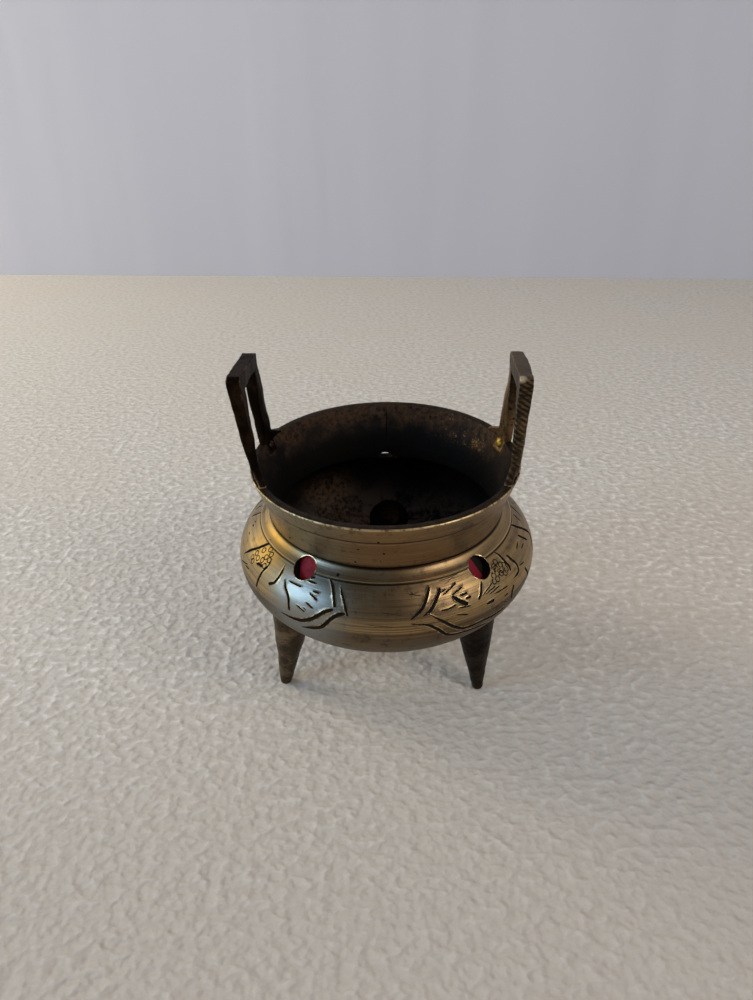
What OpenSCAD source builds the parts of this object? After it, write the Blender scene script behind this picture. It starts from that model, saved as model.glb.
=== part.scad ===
// Tripod incense burner with two loop handles.
// Origin on the table under the middle of the bowl, +Z up, front towards -Y.
// Azimuths are seen from above: 0 at the front, positive towards the right.

/* [Bowl] */
// Outside diameter at the widest line
bowl_d = 90; // [84:1:110]
// Height of the widest line above the table
waist_z = 45.3; // [40:0.1:55]
// Depth of the belly below the widest line
belly_depth = 23; // [19:0.5:27]
// Height the round of the upper side would reach above the widest line
crown_height = 20.2; // [18:0.1:24]
// Wall thickness at the side
bowl_wall = 2.2; // [1.6:0.1:2.8]
// Wall thickness at the bottom
bottom_wall = 2.4; // [1.8:0.1:3]
// Wall thickness of the crown, under the shoulder
crown_wall = 2.2; // [1.6:0.1:2.6]
// How far the crisp edge of the shoulder stands inside the widest edge
shoulder_inset = 7.3; // [5.5:0.1:9]
// Height of the small step below the shoulder edge
shoulder_step = 0.45; // [0.2:0.05:0.8]
// Width of the hollow slope above the shoulder edge
cove_w = 3; // [2.4:0.1:3.6]
// Height of the hollow slope
cove_h = 2.4; // [2:0.1:3.2]
// How far the slope is hollowed
cove_hollow = 0.35; // [0.1:0.05:0.5]

/* [Neck] */
// Wall thickness of the neck at its foot
neck_wall = 2.4; // [2:0.1:3]
// Height from the neck's foot to the lip
neck_h = 9.8; // [8:0.1:13]
// How far the neck flares outwards on its way to the lip
neck_flare = 2.5; // [1.5:0.1:4]
// How far the lip stands proud of the neck
lip_proud = 0.35; // [0.2:0.05:0.8]
// How far the lip widens from its foot up to the rim
lip_flare = 1.65; // [0.5:0.05:2.5]
// Height of the lip
lip_h = 5.3; // [4.4:0.1:7]
// Width of the rim's top face
rim_w = 2.5; // [2.2:0.1:3.4]
// Depth of the spigot that locates the neck in the bowl's mouth
spigot_h = 1.2; // [0.8:0.1:1.4]
// Radial thickness of the spigot
spigot_w = 1.1; // [0.8:0.1:1.3]

/* [Shoulder holes] */
// Diameter of the holes
hole_d = 6.8; // [5:0.1:7]
// Tilt of the holes above the horizontal
hole_tilt = 34; // [30:1:42]
// Azimuth of the front left hole
left_hole_az = -36; // [-50:0.5:-25]
// Azimuth of the front right hole
right_hole_az = 40.5; // [25:0.5:50]
// How far the front right hole sits below the shoulder edge
right_hole_drop = 1.6; // [0:0.1:1.8]
// Azimuth of the open hole at the back
rear_hole_az = 180; // [165:1:195]
// Depth of the red panes below the shoulder
pane_depth = 2; // [1.6:0.1:2.2]
// Thickness of the red panes
pane_t = 1; // [0.8:0.1:1.4]
// Width of the ledge that each pane rests against
pane_ledge = 0.5; // [0.3:0.1:0.7]

/* [Handles] */
// Height of the handles above the rim
handle_h = 28.5; // [20:0.5:36]
// Width across the top of a handle
handle_top_w = 20.6; // [17:0.2:24]
// Width across the feet of a handle
handle_base_w = 26.8; // [24:0.2:30]
// Width of a handle's bars at the top
bar_top_w = 4.6; // [3.4:0.1:5.2]
// Width of a handle's bars at the feet
bar_foot_w = 5.6; // [4.6:0.1:6.5]
// Thickness of a handle at the top
bar_t = 3.8; // [2.8:0.1:4.4]
// Rounding of a handle's top corners
handle_corner_r = 1.3; // [0.5:0.1:1.9]
// How far the top of the left handle leans outwards past the rim
left_lean = 1.8; // [0:0.1:2.5]
// How far the top of the right handle leans outwards past the rim
right_lean = 0.1; // [0:0.1:2.5]
// Azimuth of the left handle
left_handle_az = -90.5; // [-96:0.5:-84]
// Azimuth of the right handle
right_handle_az = 90; // [84:0.5:96]
// Turn of the left handle's top against its feet
left_twist = -4; // [-6:0.1:6]
// Turn of the right handle's top against its feet
right_twist = -1.6; // [-6:0.1:6]
// How far the left handle's top is set towards the front
left_top_shift = -0.8; // [-2:0.1:2]
// How far the right handle's top is set towards the front
right_top_shift = 1; // [-2:0.1:2]
// Height of the fillets in the middle of a handle's feet
fillet_h = 3.6; // [2:0.1:6]
// How far the fillets run along the rim from the middle of a foot
fillet_len = 8; // [5:0.5:11]
// Depth of the tangs let into the inside of the lip
tang_h = 3.6; // [2.6:0.1:3.9]
// Shank diameter of the handle rivets
rivet_d = 1.2; // [0.8:0.1:1.4]
// Head diameter of the handle rivets
rivet_head_d = 3; // [2:0.1:3.2]
// Head height of the handle rivets
rivet_head_h = 0.9; // [0.4:0.1:1.2]
// Depth of the rivets' axis below the rim
rivet_drop = 1.2; // [1:0.1:1.5]

/* [Legs] */
// How far the front left foot stands inside the bowl's widest edge
left_foot_inset = 8.4; // [6:0.1:12]
// How far the front right foot stands inside the bowl's widest edge
right_foot_inset = 10.8; // [6:0.1:12]
// How far the rear foot stands inside the bowl's widest edge
rear_foot_inset = 9; // [6:0.1:12]
// Azimuth of the front left leg
left_leg_az = -65; // [-70:1:-50]
// Azimuth of the front right leg
right_leg_az = 57; // [50:1:70]
// Azimuth of the rear leg
rear_leg_az = 178; // [170:1:190]
// Outward lean of the front left leg towards the foot
left_leg_lean = 9; // [4:0.5:11]
// Outward lean of the front right leg towards the foot
right_leg_lean = 5; // [4:0.5:11]
// Outward lean of the rear leg towards the foot
rear_leg_lean = 7; // [4:0.5:11]
// Radius of a leg near its tip
leg_tip_r = 1.9; // [1.6:0.1:2.6]
// Widening of a leg's radius for each millimetre up
leg_taper = 0.16; // [0.12:0.01:0.18]
// Radius of the flat sole
sole_r = 1; // [0.6:0.1:1.4]
// Diameter of the tenon through the bowl
tenon_d = 5; // [3.6:0.1:6]
// Diameter of the peened head of the tenon
peen_d = 7.4; // [6.4:0.1:8]
// Height of the peened head above the washer
peen_h = 1.5; // [1:0.1:2]
// Diameter of the washers
washer_d = 13.6; // [10:0.2:14]
// Thickness of the washers
washer_t = 0.9; // [0.6:0.1:1.4]

/* [Fits] */
// Gap round the tenons, tangs, spigot, panes and rivets
fit = 0.05; // [0.02:0.01:0.1]

/* [Hidden] */

round_fn = 96;
small_fn = 32;
bowl_r = bowl_d / 2;
shoulder_r = bowl_r - shoulder_inset;
inner_r = bowl_r - bowl_wall;
shoulder_z = waist_z + crown_height * sqrt(1 - pow(shoulder_r / bowl_r, 2));
edge_z = shoulder_z + shoulder_step;
mouth_r = shoulder_r - cove_w;
mouth_z = edge_z + cove_h;
mouth_in_r = mouth_r - neck_wall;
lip_z = mouth_z + neck_h;
under_lip_r = mouth_r + neck_flare;
lip_foot_r = under_lip_r + lip_proud;
rim_r = lip_foot_r + lip_flare;
rim_z = lip_z + lip_h;
rim_in_r = rim_r - rim_w;
lip_in_r = under_lip_r - neck_wall;
lip_slope = atan((rim_in_r - lip_in_r) / lip_h);
tang_in_r = rim_in_r - tang_h * tan(lip_slope);
split_r = rim_r - rim_w / 2;
split_low_r = split_r - tang_h * tan(lip_slope);
rivet_seat_r = rim_in_r - rivet_drop * tan(lip_slope);
top_z = rim_z + handle_h;
left_hole_place = [left_hole_az, 0];
right_hole_place = [right_hole_az, right_hole_drop];
rear_hole_place = [rear_hole_az, 0];
left_handle_place = [left_handle_az, left_lean, left_top_shift, left_twist];
right_handle_place = [right_handle_az, right_lean, -right_top_shift, right_twist];
left_leg_place = [left_leg_az, bowl_r - left_foot_inset, left_leg_lean];
right_leg_place = [right_leg_az, bowl_r - right_foot_inset, right_leg_lean];
rear_leg_place = [rear_leg_az, bowl_r - rear_foot_inset, rear_leg_lean];
foot_angle = asin((handle_base_w - bar_foot_w) / 2 / split_r);
tang_angle = bar_foot_w / split_r * 180 / PI;
// Share of the neck's flare that rises evenly; the rest curls out towards the lip
even_flare = 0.45;
// Rounding of a handle bar's long edges, and height of the slices it is drawn between
bar_edge_r = 0.5;
slice_h = 0.4;
// Share of a peened head's height that is its upright edge
peen_edge = 0.3;
brass = [0.56, 0.47, 0.32];
bronze = [0.22, 0.17, 0.13];
soot = [0.12, 0.10, 0.08];
yellow_brass = [0.80, 0.63, 0.28];
dark_red = [0.36, 0.09, 0.12];

// Points up the side of the bulb, from the bottom's middle to the radius top_r: half an
// ellipse of radius r that reaches down below the waist and up above it
function bulb_pts(r, down, up, top_r) =
    let (n = 36, end_a = acos(top_r / r))
    [for (i = [0:n]) let (a = -90 + (90 + end_a) * i / n)
        [r * cos(a), waist_z + (a < 0 ? down : up) * sin(a)]];

// Points of the hollow slope from the shoulder edge up to the mouth
function cove_pts(n) =
    [for (i = [0:n]) let (u = i / n, dip = cove_hollow * 4 * u * (1 - u))
        [shoulder_r - cove_w * u - dip * cos(45), edge_z + cove_h * u - dip * sin(45)]];

// Flare of the neck at a share u of its height
function flare(u) = neck_flare * (even_flare * u + (1 - even_flare) * u * u);

// Points of the neck's side, starting at radius r, from its foot up to the lip
function neck_pts(r, n) = [for (i = [0:n]) [r + flare(i / n), mouth_z + neck_h * i / n]];

function reversed(list) = [for (i = [len(list) - 1:-1:0]) list[i]];

// Solid of the bulb's outside, without the slope above the shoulder
module bulb_outside() {
    rotate_extrude($fn = round_fn)
        polygon(concat(
            bulb_pts(bowl_r, belly_depth, crown_height, shoulder_r),
            [[0, shoulder_z]]));
}

// Solid of the hollow inside the bulb, drawn in by cover from the wall
module bulb_inside(cover) {
    down = belly_depth - bottom_wall - cover;
    rotate_extrude($fn = round_fn)
        polygon(concat(
            bulb_pts(inner_r - cover, down, crown_height - crown_wall, mouth_in_r),
            [[mouth_in_r, mouth_z + fit], [0, mouth_z + fit]]));
}

// Places its children at a hole, given as [azimuth, drop below the shoulder edge]:
// +Z runs outwards along the hole from the shoulder
module at_hole(place) {
    rotate([0, 0, place[0] - 90])
        translate([shoulder_r, 0, edge_z])
            rotate([0, 90 - hole_tilt, 0])
                translate([place[1], 0, 0])
                    children();
}

module hole_cut(place, with_pane) {
    reach = neck_wall + cove_w;
    at_hole(place) {
        translate([0, 0, -reach])
            cylinder(d = hole_d, h = 2 * reach, $fn = round_fn);
        if (with_pane)
            translate([0, 0, -pane_depth - reach])
                cylinder(d = hole_d + 2 * pane_ledge, h = reach, $fn = round_fn);
    }
}

// Places its children on the axis of a leg, given as [azimuth, foot distance, lean]:
// +Z runs up the leg from the sole
module at_leg(place) {
    rotate([0, 0, place[0] - 90])
        translate([place[1], 0, 0])
            rotate([0, -place[2], 0])
                children();
}

module bowl() {
    color(brass)
        difference() {
            union() {
                bulb_outside();
                rotate_extrude($fn = round_fn)
                    polygon(concat(
                        [[0, shoulder_z], [shoulder_r, shoulder_z]],
                        cove_pts(8),
                        [[0, mouth_z]]));
            }
            bulb_inside(0);
            translate([0, 0, mouth_z - spigot_h])
                cylinder(r = mouth_in_r + spigot_w, h = 2 * spigot_h, $fn = round_fn);
            hole_cut(left_hole_place, true);
            hole_cut(right_hole_place, true);
            hole_cut(rear_hole_place, false);
            tenon_hole(left_leg_place);
            tenon_hole(right_leg_place);
            tenon_hole(rear_leg_place);
        }
}

module tenon_hole(place) {
    at_leg(place)
        cylinder(d = tenon_d + 2 * fit, h = waist_z, $fn = round_fn);
}

module neck_ring() {
    spigot_r = mouth_in_r + spigot_w - fit;
    color(brass)
        difference() {
            rotate_extrude($fn = round_fn)
                polygon(concat(
                    [[mouth_in_r, mouth_z - spigot_h + fit],
                     [spigot_r, mouth_z - spigot_h + fit],
                     [spigot_r, mouth_z]],
                    neck_pts(mouth_r, 8),
                    [[lip_foot_r, lip_z + lip_proud],
                     [rim_r, rim_z - lip_proud],
                     [rim_r - lip_proud, rim_z],
                     [rim_in_r, rim_z]],
                    reversed(neck_pts(mouth_in_r, 8))));
            for (side = [-1, 1]) {
                tang_cut(left_handle_az, side);
                tang_cut(right_handle_az, side);
            }
            rivet_hole(left_handle_az, -1);
            rivet_hole(right_handle_az, 1);
        }
}

// Turns its children to a foot of a handle: +X runs outwards through the foot
module at_foot(az, side) {
    rotate([0, 0, az - 90 + side * foot_angle])
        children();
}

// Notch in the inside of the lip for one tang
module tang_cut(az, side) {
    spare = fit / split_r * 180 / PI;
    at_foot(az, side)
        rotate([0, 0, -tang_angle / 2 - spare])
            rotate_extrude(angle = tang_angle + 2 * spare, $fn = round_fn)
                polygon([[lip_in_r - rim_w, rim_z - tang_h - fit],
                         [split_low_r, rim_z - tang_h - fit],
                         [split_r, rim_z],
                         [split_r, rim_z + lip_h],
                         [lip_in_r - rim_w, rim_z + lip_h]]);
}

// Tang of a handle, which fills its notch flush with the inside of the lip
module tang(az, side) {
    at_foot(az, side)
        rotate([0, 0, -tang_angle / 2])
            rotate_extrude(angle = tang_angle, $fn = round_fn)
                polygon([[tang_in_r, rim_z - tang_h],
                         [split_low_r - fit, rim_z - tang_h],
                         [split_r - fit, rim_z],
                         [split_r - fit, rim_z + fit],
                         [rim_in_r, rim_z + fit]]);
}

// Places its children where a rivet's head sits on a tang: +Z runs out through the lip
module at_rivet(az, side) {
    at_foot(az, side)
        translate([rivet_seat_r, 0, rim_z - rivet_drop])
            rotate([0, 90 + lip_slope, 0])
                children();
}

module rivet_hole(az, side) {
    at_rivet(az, side)
        translate([0, 0, -rim_w])
            cylinder(d = rivet_d + 2 * fit, h = 3 * rim_w, $fn = small_fn);
}

// Thin level slice of a handle bar: thick along X, wide along Y
module bar_slice(thick, wide) {
    far_y = wide / 2 - bar_edge_r;
    for (x = [bar_edge_r, thick - bar_edge_r], y = [-far_y, far_y])
        translate([x, y, 0])
            cylinder(r = bar_edge_r, h = slice_h, $fn = 16);
}

// Fillet at a handle's foot: a wedge along the rim, away from the loop
module foot_fillet(az, side) {
    reach = fillet_len / split_r * 180 / PI;
    hull()
        for (end = [[0, fillet_h], [reach, slice_h]])
            rotate([0, 0, az - 90 + side * (foot_angle + end[0])])
                for (x = [bar_edge_r, rim_w - lip_proud - bar_edge_r])
                    translate([rim_in_r + x, 0, rim_z])
                        cylinder(r = bar_edge_r, h = end[1], $fn = 16);
}

// Loop handle, given as [azimuth, lean, shift of the top, twist]; rivet_side is the side of
// its riveted foot, counted anticlockwise
module handle(place, rivet_side) {
    az = place[0];
    bar_y = (handle_top_w - bar_top_w) / 2;
    corner_y = handle_top_w / 2 - handle_corner_r;
    difference() {
        union() {
            for (side = [-1, 1]) {
                tang(az, side);
                foot_fillet(az, side);
                hull() {
                    at_foot(az, side)
                        translate([rim_in_r, 0, rim_z])
                            bar_slice(rim_w - lip_proud, bar_foot_w);
                    at_handle_top(place)
                        translate([0, side * bar_y, -bar_top_w])
                            bar_slice(bar_t, bar_top_w);
                }
            }
            hull()
                at_handle_top(place)
                    for (side = [-1, 1]) {
                        translate([0, side * bar_y, -bar_top_w])
                            bar_slice(bar_t, bar_top_w);
                        translate([0, side * corner_y, -handle_corner_r])
                            rotate([0, 90, 0])
                                cylinder(r = handle_corner_r, h = bar_t, $fn = small_fn);
                    }
        }
        rivet_hole(az, rivet_side);
    }
}

// Places its children at the inner face of a handle's top, in the middle of the loop
module at_handle_top(place) {
    rotate([0, 0, place[0] - 90])
        translate([rim_r + place[1] - bar_t, place[2], top_z])
            rotate([0, 0, place[3]])
                children();
}

module left_handle() {
    color(bronze)
        handle(left_handle_place, -1);
}

module right_handle() {
    color(bronze)
        handle(right_handle_place, 1);
}

// Rivet through a tang and the lip: domed head inside, filed flush outside
module rivet(az, side) {
    head_r = rivet_head_d / 2;
    at_rivet(az, side) {
        cylinder(d = rivet_d, h = rim_w * cos(lip_slope) - fit, $fn = small_fn);
        rotate([180, 0, 0])
            rotate_extrude($fn = small_fn)
                polygon(concat(
                    [[0, 0]],
                    [for (a = [0:15:90]) [head_r * cos(a), rivet_head_h * sin(a)]]));
    }
}

module handle_rivets() {
    color(yellow_brass) {
        rivet(left_handle_az, -1);
        rivet(right_handle_az, 1);
    }
}

// Height along a leg's axis at which it meets the top of its washer
function seat_h(foot_r, lean) =
    let (rx = inner_r - washer_t,
         rz = belly_depth - bottom_wall - washer_t,
         qa = pow(sin(lean) / rx, 2) + pow(cos(lean) / rz, 2),
         qb = foot_r * sin(lean) / (rx * rx) + waist_z * cos(lean) / (rz * rz),
         qc = pow(foot_r / rx, 2) + pow(waist_z / rz, 2) - 1)
    (qb - sqrt(qb * qb - qa * qc)) / qa;

// Lean of the bowl's inside at the point [r, z], measured from the vertical
function wall_lean(r, z) =
    atan2(r / pow(inner_r - washer_t, 2),
          (waist_z - z) / pow(belly_depth - bottom_wall - washer_t, 2));

// Places its children on a washer: +Z stands square to the inside of the bowl
module at_seat(place) {
    h = seat_h(place[1], place[2]);
    r = place[1] - h * sin(place[2]);
    z = h * cos(place[2]);
    rotate([0, 0, place[0] - 90])
        translate([r, 0, z])
            rotate([0, -wall_lean(r, z), 0])
                children();
}

// Leg with its tenon and peened head
module leg(place) {
    cone_h = waist_z - 2 * leg_tip_r;
    sole_cut = sole_r * tan(place[2]);
    seat = seat_h(place[1], place[2]);
    peen_r = peen_d / 2;
    difference() {
        at_leg(place)
            translate([0, 0, -sole_cut])
                rotate_extrude($fn = round_fn)
                    polygon(concat(
                        [[0, 0]],
                        [for (a = [-90:15:0]) [sole_r + (leg_tip_r - sole_r) * cos(a),
                                               leg_tip_r * (1 + sin(a))]],
                        [[leg_tip_r + leg_taper * cone_h, leg_tip_r + cone_h],
                         [0, leg_tip_r + cone_h]]));
        bulb_outside();
        translate([0, 0, -belly_depth])
            cylinder(r = 2 * bowl_r, h = belly_depth);
    }
    at_leg(place)
        translate([0, 0, seat / 2])
            cylinder(d = tenon_d, h = (seat + peen_h) / 2, $fn = round_fn);
    intersection() {
        bulb_inside(washer_t);
        at_seat(place)
            rotate_extrude($fn = round_fn)
                polygon(concat(
                    [[0, -peen_h], [peen_r, -peen_h]],
                    [for (a = [0:15:75])
                        [peen_r * cos(a), peen_h * (peen_edge + (1 - peen_edge) * sin(a))]],
                    [[0, peen_h]]));
    }
}

module front_left_leg() {
    color(bronze)
        leg(left_leg_place);
}

module front_right_leg() {
    color(bronze)
        leg(right_leg_place);
}

module rear_leg() {
    color(bronze)
        leg(rear_leg_place);
}

// Washer on the inside of the bowl: a thick blank, trimmed to the bowl's curve on both faces
module washer(place) {
    blank_t = 4 * washer_t;
    difference() {
        intersection() {
            bulb_inside(0);
            at_seat(place)
                cylinder(d = washer_d, h = blank_t, center = true, $fn = round_fn);
        }
        bulb_inside(washer_t);
        tenon_hole(place);
    }
}

module leg_washers() {
    color(soot) {
        washer(left_leg_place);
        washer(right_leg_place);
        washer(rear_leg_place);
    }
}

module pane(place) {
    at_hole(place)
        translate([0, 0, -pane_depth - pane_t])
            cylinder(d = hole_d + 2 * pane_ledge - 2 * fit, h = pane_t, $fn = round_fn);
}

module left_red_pane() {
    color(dark_red)
        pane(left_hole_place);
}

module right_red_pane() {
    color(dark_red)
        pane(right_hole_place);
}

bowl();
neck_ring();
left_handle();
right_handle();
handle_rivets();
front_left_leg();
front_right_leg();
rear_leg();
leg_washers();
left_red_pane();
right_red_pane();
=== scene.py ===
"""Finish of a small tripod incense burner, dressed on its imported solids.

Lengths are in millimetres here and become metres where a mesh is made. Azimuths are seen
from above: 0 at the front, positive towards the right, as in the part's own source.
"""
import math
import random

import bmesh
import bpy
import numpy as np
from mathutils import Matrix, Vector, noise


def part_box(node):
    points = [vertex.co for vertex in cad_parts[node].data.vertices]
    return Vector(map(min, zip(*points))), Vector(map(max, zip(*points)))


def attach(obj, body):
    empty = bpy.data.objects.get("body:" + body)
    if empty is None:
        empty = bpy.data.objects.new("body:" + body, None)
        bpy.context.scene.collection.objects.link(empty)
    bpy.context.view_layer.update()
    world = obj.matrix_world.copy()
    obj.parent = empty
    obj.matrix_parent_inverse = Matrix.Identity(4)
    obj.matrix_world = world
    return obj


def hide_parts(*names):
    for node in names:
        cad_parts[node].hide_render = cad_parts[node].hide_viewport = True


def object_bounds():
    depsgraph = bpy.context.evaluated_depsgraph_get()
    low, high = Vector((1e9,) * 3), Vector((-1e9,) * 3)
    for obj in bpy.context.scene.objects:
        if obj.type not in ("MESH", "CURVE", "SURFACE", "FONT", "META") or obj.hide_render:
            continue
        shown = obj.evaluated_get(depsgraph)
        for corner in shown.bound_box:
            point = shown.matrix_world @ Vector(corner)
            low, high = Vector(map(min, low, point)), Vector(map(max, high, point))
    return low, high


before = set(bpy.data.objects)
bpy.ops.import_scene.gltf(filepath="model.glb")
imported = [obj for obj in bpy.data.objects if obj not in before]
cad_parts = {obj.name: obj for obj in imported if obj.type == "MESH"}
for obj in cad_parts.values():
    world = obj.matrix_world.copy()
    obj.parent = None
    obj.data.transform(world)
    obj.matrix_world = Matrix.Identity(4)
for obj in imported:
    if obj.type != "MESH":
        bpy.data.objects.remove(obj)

MM = 0.001
BODY = "root"
cad_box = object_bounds()

# ---------------------------------------------------------------- sizes
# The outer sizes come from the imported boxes; the rest are those of the part's own source.

bowl_low, bowl_high = (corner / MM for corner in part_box("bowl"))
ring_low, ring_high = (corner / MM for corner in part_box("neck_ring"))

BELLY_R = min(bowl_high.x, bowl_high.y, -bowl_low.x, -bowl_low.y)
BOTTOM_Z = bowl_low.z
MOUTH_Z = bowl_high.z            # top of the bowl, foot of the neck
RIM_R = min(ring_high.x, ring_high.y, -ring_low.x, -ring_low.y)
RIM_Z = ring_high.z
TOP_Z = cad_box[1].z / MM
WAIST_Z = 45.3                   # height of the widest line
BELLY_DEPTH = WAIST_Z - BOTTOM_Z
CROWN_H = 20.2                   # height above it where the round of the crown would close
WALL = 2.2
BOTTOM_WALL = 2.4
SHOULDER_R = 37.7                # crisp edge of the shoulder
SHOULDER_STEP = 0.45
COVE_HOLLOW = 0.35
COVE_STEPS = 8
NECK_WALL = 2.4
NECK_FOOT_R = 34.7
NECK_IN_R = NECK_FOOT_R - NECK_WALL
NECK_FLARE = 2.5
NECK_STEPS = 14
EVEN_FLARE = 0.45                # share of the flare that is even; the rest grows upwards
LIP_H = 5.3
LIP_PROUD = 0.35
RIM_W = 2.5
TANG_H = 3.6                     # how deep a handle's foot is let into the rim
FOOT_TURN = 16.2                 # from the middle of a handle to the middle of a foot
BAR_FOOT_W = 5.6
SPIGOT_W = 1.1
SPIGOT_H = 1.2
FIT = 0.05                       # clearance all round where two pieces meet
HOLE_D = 6.8
HOLE_TILT = 34
PANE_DEPTH = 2
PANE_LEDGE = 0.5
PANE_T = 1
REAR_HOLE_WEAR = 0.5             # the open rear hole is worn this much wider all round
REAR_EDGE_T = 1.1                # thickness left at its edge
REAR_RELIEF = 1.2                # how much wider the neck's foot is cut away behind it
TENON_D = 5
SEAM_AZ = 179                    # the neck ring's open seam, inside at the back
SEAM_W = 0.32
SEAM_H = 10
SEAM_DEPTH = 1.25
SEAM_SLOPE = 3.7                 # how much farther out its top end reaches
TENON_LOW_Z = 10                 # where a tenon's hole starts, in the air under the bowl

LIP_Z = RIM_Z - LIP_H
UNDER_LIP_R = NECK_FOOT_R + NECK_FLARE
INNER_R = BELLY_R - WALL
SHOULDER_Z = WAIST_Z + CROWN_H * math.sqrt(1 - (SHOULDER_R / BELLY_R) ** 2)
EDGE_Z = SHOULDER_Z + SHOULDER_STEP
SPLIT_R = RIM_R - RIM_W / 2
LIP_LEAN = (RIM_R - RIM_W - (UNDER_LIP_R - NECK_WALL)) / LIP_H    # inside the lip
SPLIT_LOW_R = SPLIT_R - TANG_H * LIP_LEAN

# azimuth and drop below the shoulder edge
LEFT_HOLE = (-36, 0)
RIGHT_HOLE = (40.5, 1.6)
REAR_HOLE = (180, 0)

LEFT_HANDLE_AZ = -90.5
RIGHT_HANDLE_AZ = 90

# azimuth, distance of the foot from the centre, outward lean
LEFT_LEG = (-65, BELLY_R - 8.4, 9)
RIGHT_LEG = (57, BELLY_R - 10.8, 5)
REAR_LEG = (178, BELLY_R - 9, 7)

BOWL_SEGMENTS = 320
NECK_SEGMENTS = 360
PANE_SEGMENTS = 64

SPARE = 1                        # how far a cutting tool runs past the metal
DRILL_REACH = 6                  # how far a drill reaches either side of the shoulder
MERGE_DISTANCE = 0.002           # points of a turned body this close become one
HALF_TURN = 3.14                 # radians; a punch may be held any way round


# ---------------------------------------------------------------- node trees

class Socket:
    """An output socket of a node tree, with arithmetic that adds Math nodes."""

    def __init__(self, graph, socket):
        self.graph = graph
        self.socket = socket

    def of(self, name):
        """Another output of the same node."""
        return Socket(self.graph, pick(self.socket.node.outputs, name))

    def math(self, operation, *values):
        slots = dict(enumerate(values))
        return self.graph.node("ShaderNodeMath", {"operation": operation}, slots)

    def __add__(self, other):
        return self.math("ADD", self, other)

    def __radd__(self, other):
        return self.math("ADD", other, self)

    def __sub__(self, other):
        return self.math("SUBTRACT", self, other)

    def __rsub__(self, other):
        return self.math("SUBTRACT", other, self)

    def __mul__(self, other):
        return self.math("MULTIPLY", self, other)

    def __rmul__(self, other):
        return self.math("MULTIPLY", other, self)

    def __truediv__(self, other):
        return self.math("DIVIDE", self, other)

    def __pow__(self, other):
        return self.math("POWER", self, other)

    def __abs__(self):
        return self.math("ABSOLUTE", self)


def pick(sockets, key):
    """The socket with that name or number, among those that its node shows."""
    if isinstance(key, int):
        return sockets[key]
    return next(s for s in sockets if s.name == key and s.enabled)


class Graph:
    """A node tree that grows one node at a time."""

    def __init__(self, tree):
        self.tree = tree

    def node(self, kind, settings=None, values=None):
        """Adds a node and returns its first shown output."""
        made = self.tree.nodes.new(kind)
        for name, value in (settings or {}).items():
            setattr(made, name, value)
        for key, value in (values or {}).items():
            target = pick(made.inputs, key)
            if isinstance(value, Socket):
                self.tree.links.new(value.socket, target)
            else:
                target.default_value = value
        shown = [s for s in made.outputs if s.enabled]
        return Socket(self, shown[0]) if shown else None

    def vector(self, x, y, z):
        return self.node("ShaderNodeCombineXYZ", None, {"X": x, "Y": y, "Z": z})

    def scaled(self, vector, scale):
        return self.node("ShaderNodeVectorMath", {"operation": "SCALE"},
                         {0: vector, "Scale": scale})

    def axes(self, vector):
        """The X, Y and Z of a vector."""
        split = self.node("ShaderNodeSeparateXYZ", None, {"Vector": vector})
        return [split.of(axis) for axis in "XYZ"]

    def fade(self, value, start, end):
        """0 at start, 1 at end, smooth between; start may be above end."""
        return self.node("ShaderNodeMapRange", {"interpolation_type": "SMOOTHSTEP"},
                         {"Value": value, "From Min": start, "From Max": end})

    def mix(self, share, first, second):
        """Colour between two others."""
        return self.node("ShaderNodeMix", {"data_type": "RGBA"},
                         {"Factor": share, "A": first, "B": second})

    def stored(self, name, kind="FLOAT"):
        """What a mesh's points carry under that name."""
        return self.node("GeometryNodeInputNamedAttribute", {"data_type": kind}, {"Name": name})

    def circle(self, count, radius):
        return self.node("GeometryNodeCurvePrimitiveCircle", None,
                         {"Resolution": count, "Radius": radius})


# ---------------------------------------------------------------- finishes

def srgb(red, green, blue):
    """Linear colour of a screen colour given as 0 to 255."""
    def linear(channel):
        share = channel / 255
        return share / 12.92 if share <= 0.04045 else ((share + 0.055) / 1.055) ** 2.4
    return (linear(red), linear(green), linear(blue), 1)


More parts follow.
